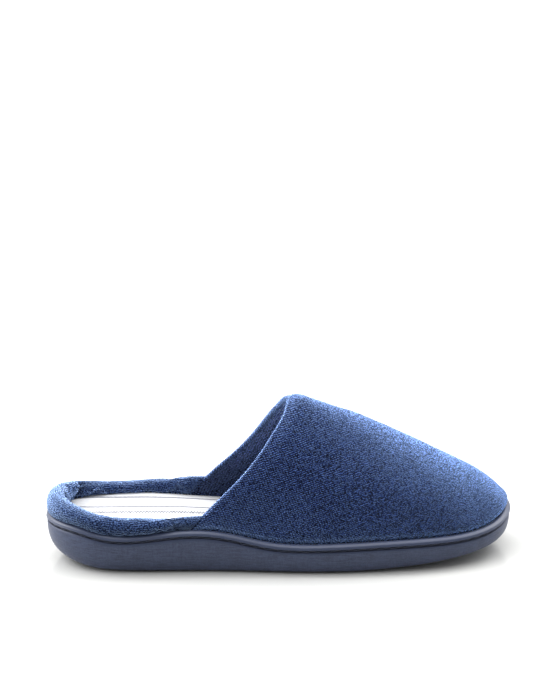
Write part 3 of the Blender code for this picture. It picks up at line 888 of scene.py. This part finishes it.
def make_stitches():
    """Twisted thread in the groove: one slanted, swollen link after another."""
    fine = np.linspace(0, 2 * pi, 4001)
    path = level(fine, 1.05, rim_at(station_of(fine)) - BEAD - GROOVE / 2 - 0.1)
    dist = np.linalg.norm(np.diff(path, axis=0, prepend=path[:1]), axis=-1).cumsum()
    total, pitch = dist[-1], 7.4
    links = int(total / pitch)
    pitch = total / links
    sides, steps = 8, 10
    points, faces = [], []
    for n in range(links):
        s = (n + np.linspace(0.0, 0.76, steps + 1)) * pitch
        centre = np.stack([np.interp(s, dist, path[:, c], period=total) for c in range(3)], -1)
        ahead = np.stack([np.interp(s + 0.05, dist, path[:, c], period=total) for c in range(3)], -1)
        run = ahead - centre
        run /= np.linalg.norm(run, axis=-1, keepdims=True)
        up = np.array([0, 0, 1.0]) - run * run[:, 2:]
        up /= np.linalg.norm(up, axis=-1, keepdims=True)
        out = np.cross(run, up)
        q = np.linspace(0, 1, steps + 1)
        swell = np.sin(pi * np.clip(q, 0.0, 1.0)) ** 0.5
        slant = (q - 0.5) * 0.55
        base = len(points) * 0 + sum(len(p) for p in points)
        for k in range(steps + 1):
            r = 0.08 + 0.30 * swell[k]
            turn = np.arange(sides) * 2 * pi / sides
            points.append(centre[k] + up[k] * slant[k] + np.outer(np.cos(turn) * r * 0.9, up[k])
                          + np.outer(np.sin(turn) * r, out[k]))
        for k in range(steps):
            for i in range(sides):
                j = (i + 1) % sides
                faces.append((base + k * sides + i, base + k * sides + j,
                              base + (k + 1) * sides + j, base + (k + 1) * sides + i))
        faces += [tuple(range(base, base + sides)), tuple(range(base + steps * sides, base + (steps + 1) * sides))]
    obj = mesh_object("groove_stitches", np.concatenate(points), faces, [THREAD], weld=False)
    return obj


for piece in (make_outsole(), make_insole(), make_upper(), make_collar(), make_stitches()):
    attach(piece, "root")

# ---------------------------------------------------------------- stage
floor_mesh = bpy.data.meshes.new("floor")
floor_mesh.from_pydata([(-9, -6, 0), (9, -6, 0), (9, 12, 0), (-9, 12, 0)], [], [(0, 1, 2, 3)])
floor = bpy.data.objects.new("floor", floor_mesh)
bpy.context.scene.collection.objects.link(floor)
white = Nodes("floor_white", 0.16)
white.put(Base_Color=(0.56, 0.562, 0.55, 1.0), Specular_IOR_Level=0.5)
floor_mesh.materials.append(white.material)

world = bpy.data.worlds.new("studio")
bpy.context.scene.world = world
world.use_nodes = True
tree = world.node_tree
sky = tree.nodes["Background"]


def sky_math(op, a, b=None):
    node = tree.nodes.new("ShaderNodeMath")
    node.operation = op
    for n, value in enumerate((a, b)):
        if value is None:
            continue
        if isinstance(value, (int, float)):
            node.inputs[n].default_value = value
        else:
            tree.links.new(value, node.inputs[n])
    return node.outputs[0]


heading = tree.nodes.new("ShaderNodeTexCoord").outputs["Generated"]


def lobe(towards, spread, strength):
    """A soft light patch in the sky."""
    node = tree.nodes.new("ShaderNodeVectorMath")
    node.operation = "DOT_PRODUCT"
    tree.links.new(heading, node.inputs[0])
    node.inputs[1].default_value = Vector(towards).normalized()
    return sky_math("MULTIPLY", sky_math("POWER", sky_math("MAXIMUM", node.outputs["Value"], 0.0), spread), strength)


Lobe = namedtuple("Lobe", "x y z spread strength")
LOBES = (
    Lobe(0.0, 0.25, 1.0, 40.0, 6.0),      # overhead, a little behind
    Lobe(0.0, -0.08, 1.0, 60.0, 3.6),     # straight overhead
    Lobe(-0.66, 0.42, 0.9, 14.0, 6.6),    # behind, from the left
    Lobe(0.66, 0.42, 0.9, 14.0, 8.2),     # behind, from the right
    Lobe(-1.0, 0.20, 0.70, 6.0, 4.4),     # left
    Lobe(1.0, 0.14, 0.25, 7.0, 1.3),      # low, from the right
    Lobe(0.0, 1.0, 0.12, 3.0, 1.0),      # backdrop
)
light = 0.29                            # even light from all round
for row in LOBES:
    light = sky_math("ADD", lobe((row.x, row.y, row.z), row.spread, row.strength), light)
tree.links.new(light, sky.inputs["Strength"])
sky.inputs["Color"].default_value = (1.0, 1.0, 1.0, 1.0)

# ---------------------------------------------------------------- camera
FRAME_W, FRAME_H = 560, 700
ELEVATION, AZIMUTH = radians(20.0), radians(-4.5)
DISTANCE, SCALE = 1400.0, 1.6455                        # mm, and pixels per mm at the target
TARGET, TARGET_PIXEL = np.array([0.0, -middle_y, 45.0]), (280.3, 478.0)
back = np.array([sin(AZIMUTH) * cos(ELEVATION), -cos(AZIMUTH) * cos(ELEVATION), sin(ELEVATION)])
focal = SCALE * DISTANCE
forward = -back
for _ in range(12):                                     # turn the camera until the target is on its pixel
    right = np.cross(forward, (0, 0, 1))
    right /= np.linalg.norm(right)
    upward = np.cross(right, forward)
    seen = -back * DISTANCE
    depth = seen @ forward
    x, y = FRAME_W / 2 + focal * (seen @ right) / depth, FRAME_H / 2 - focal * (seen @ upward) / depth
    forward = forward - right * (TARGET_PIXEL[0] - x) / focal + upward * (TARGET_PIXEL[1] - y) / focal
    forward /= np.linalg.norm(forward)
camera_data = bpy.data.cameras.new("camera")
camera_data.sensor_width = 36.0
camera_data.lens = focal / FRAME_H * 36.0
camera_data.clip_end = 100.0
camera = bpy.data.objects.new("camera", camera_data)
camera.location = Vector((TARGET + back * DISTANCE) * MM)
camera.rotation_euler = Vector(forward).to_track_quat("-Z", "Y").to_euler()
bpy.context.scene.collection.objects.link(camera)
bpy.context.scene.camera = camera
bpy.context.scene.view_settings.view_transform = "Standard"
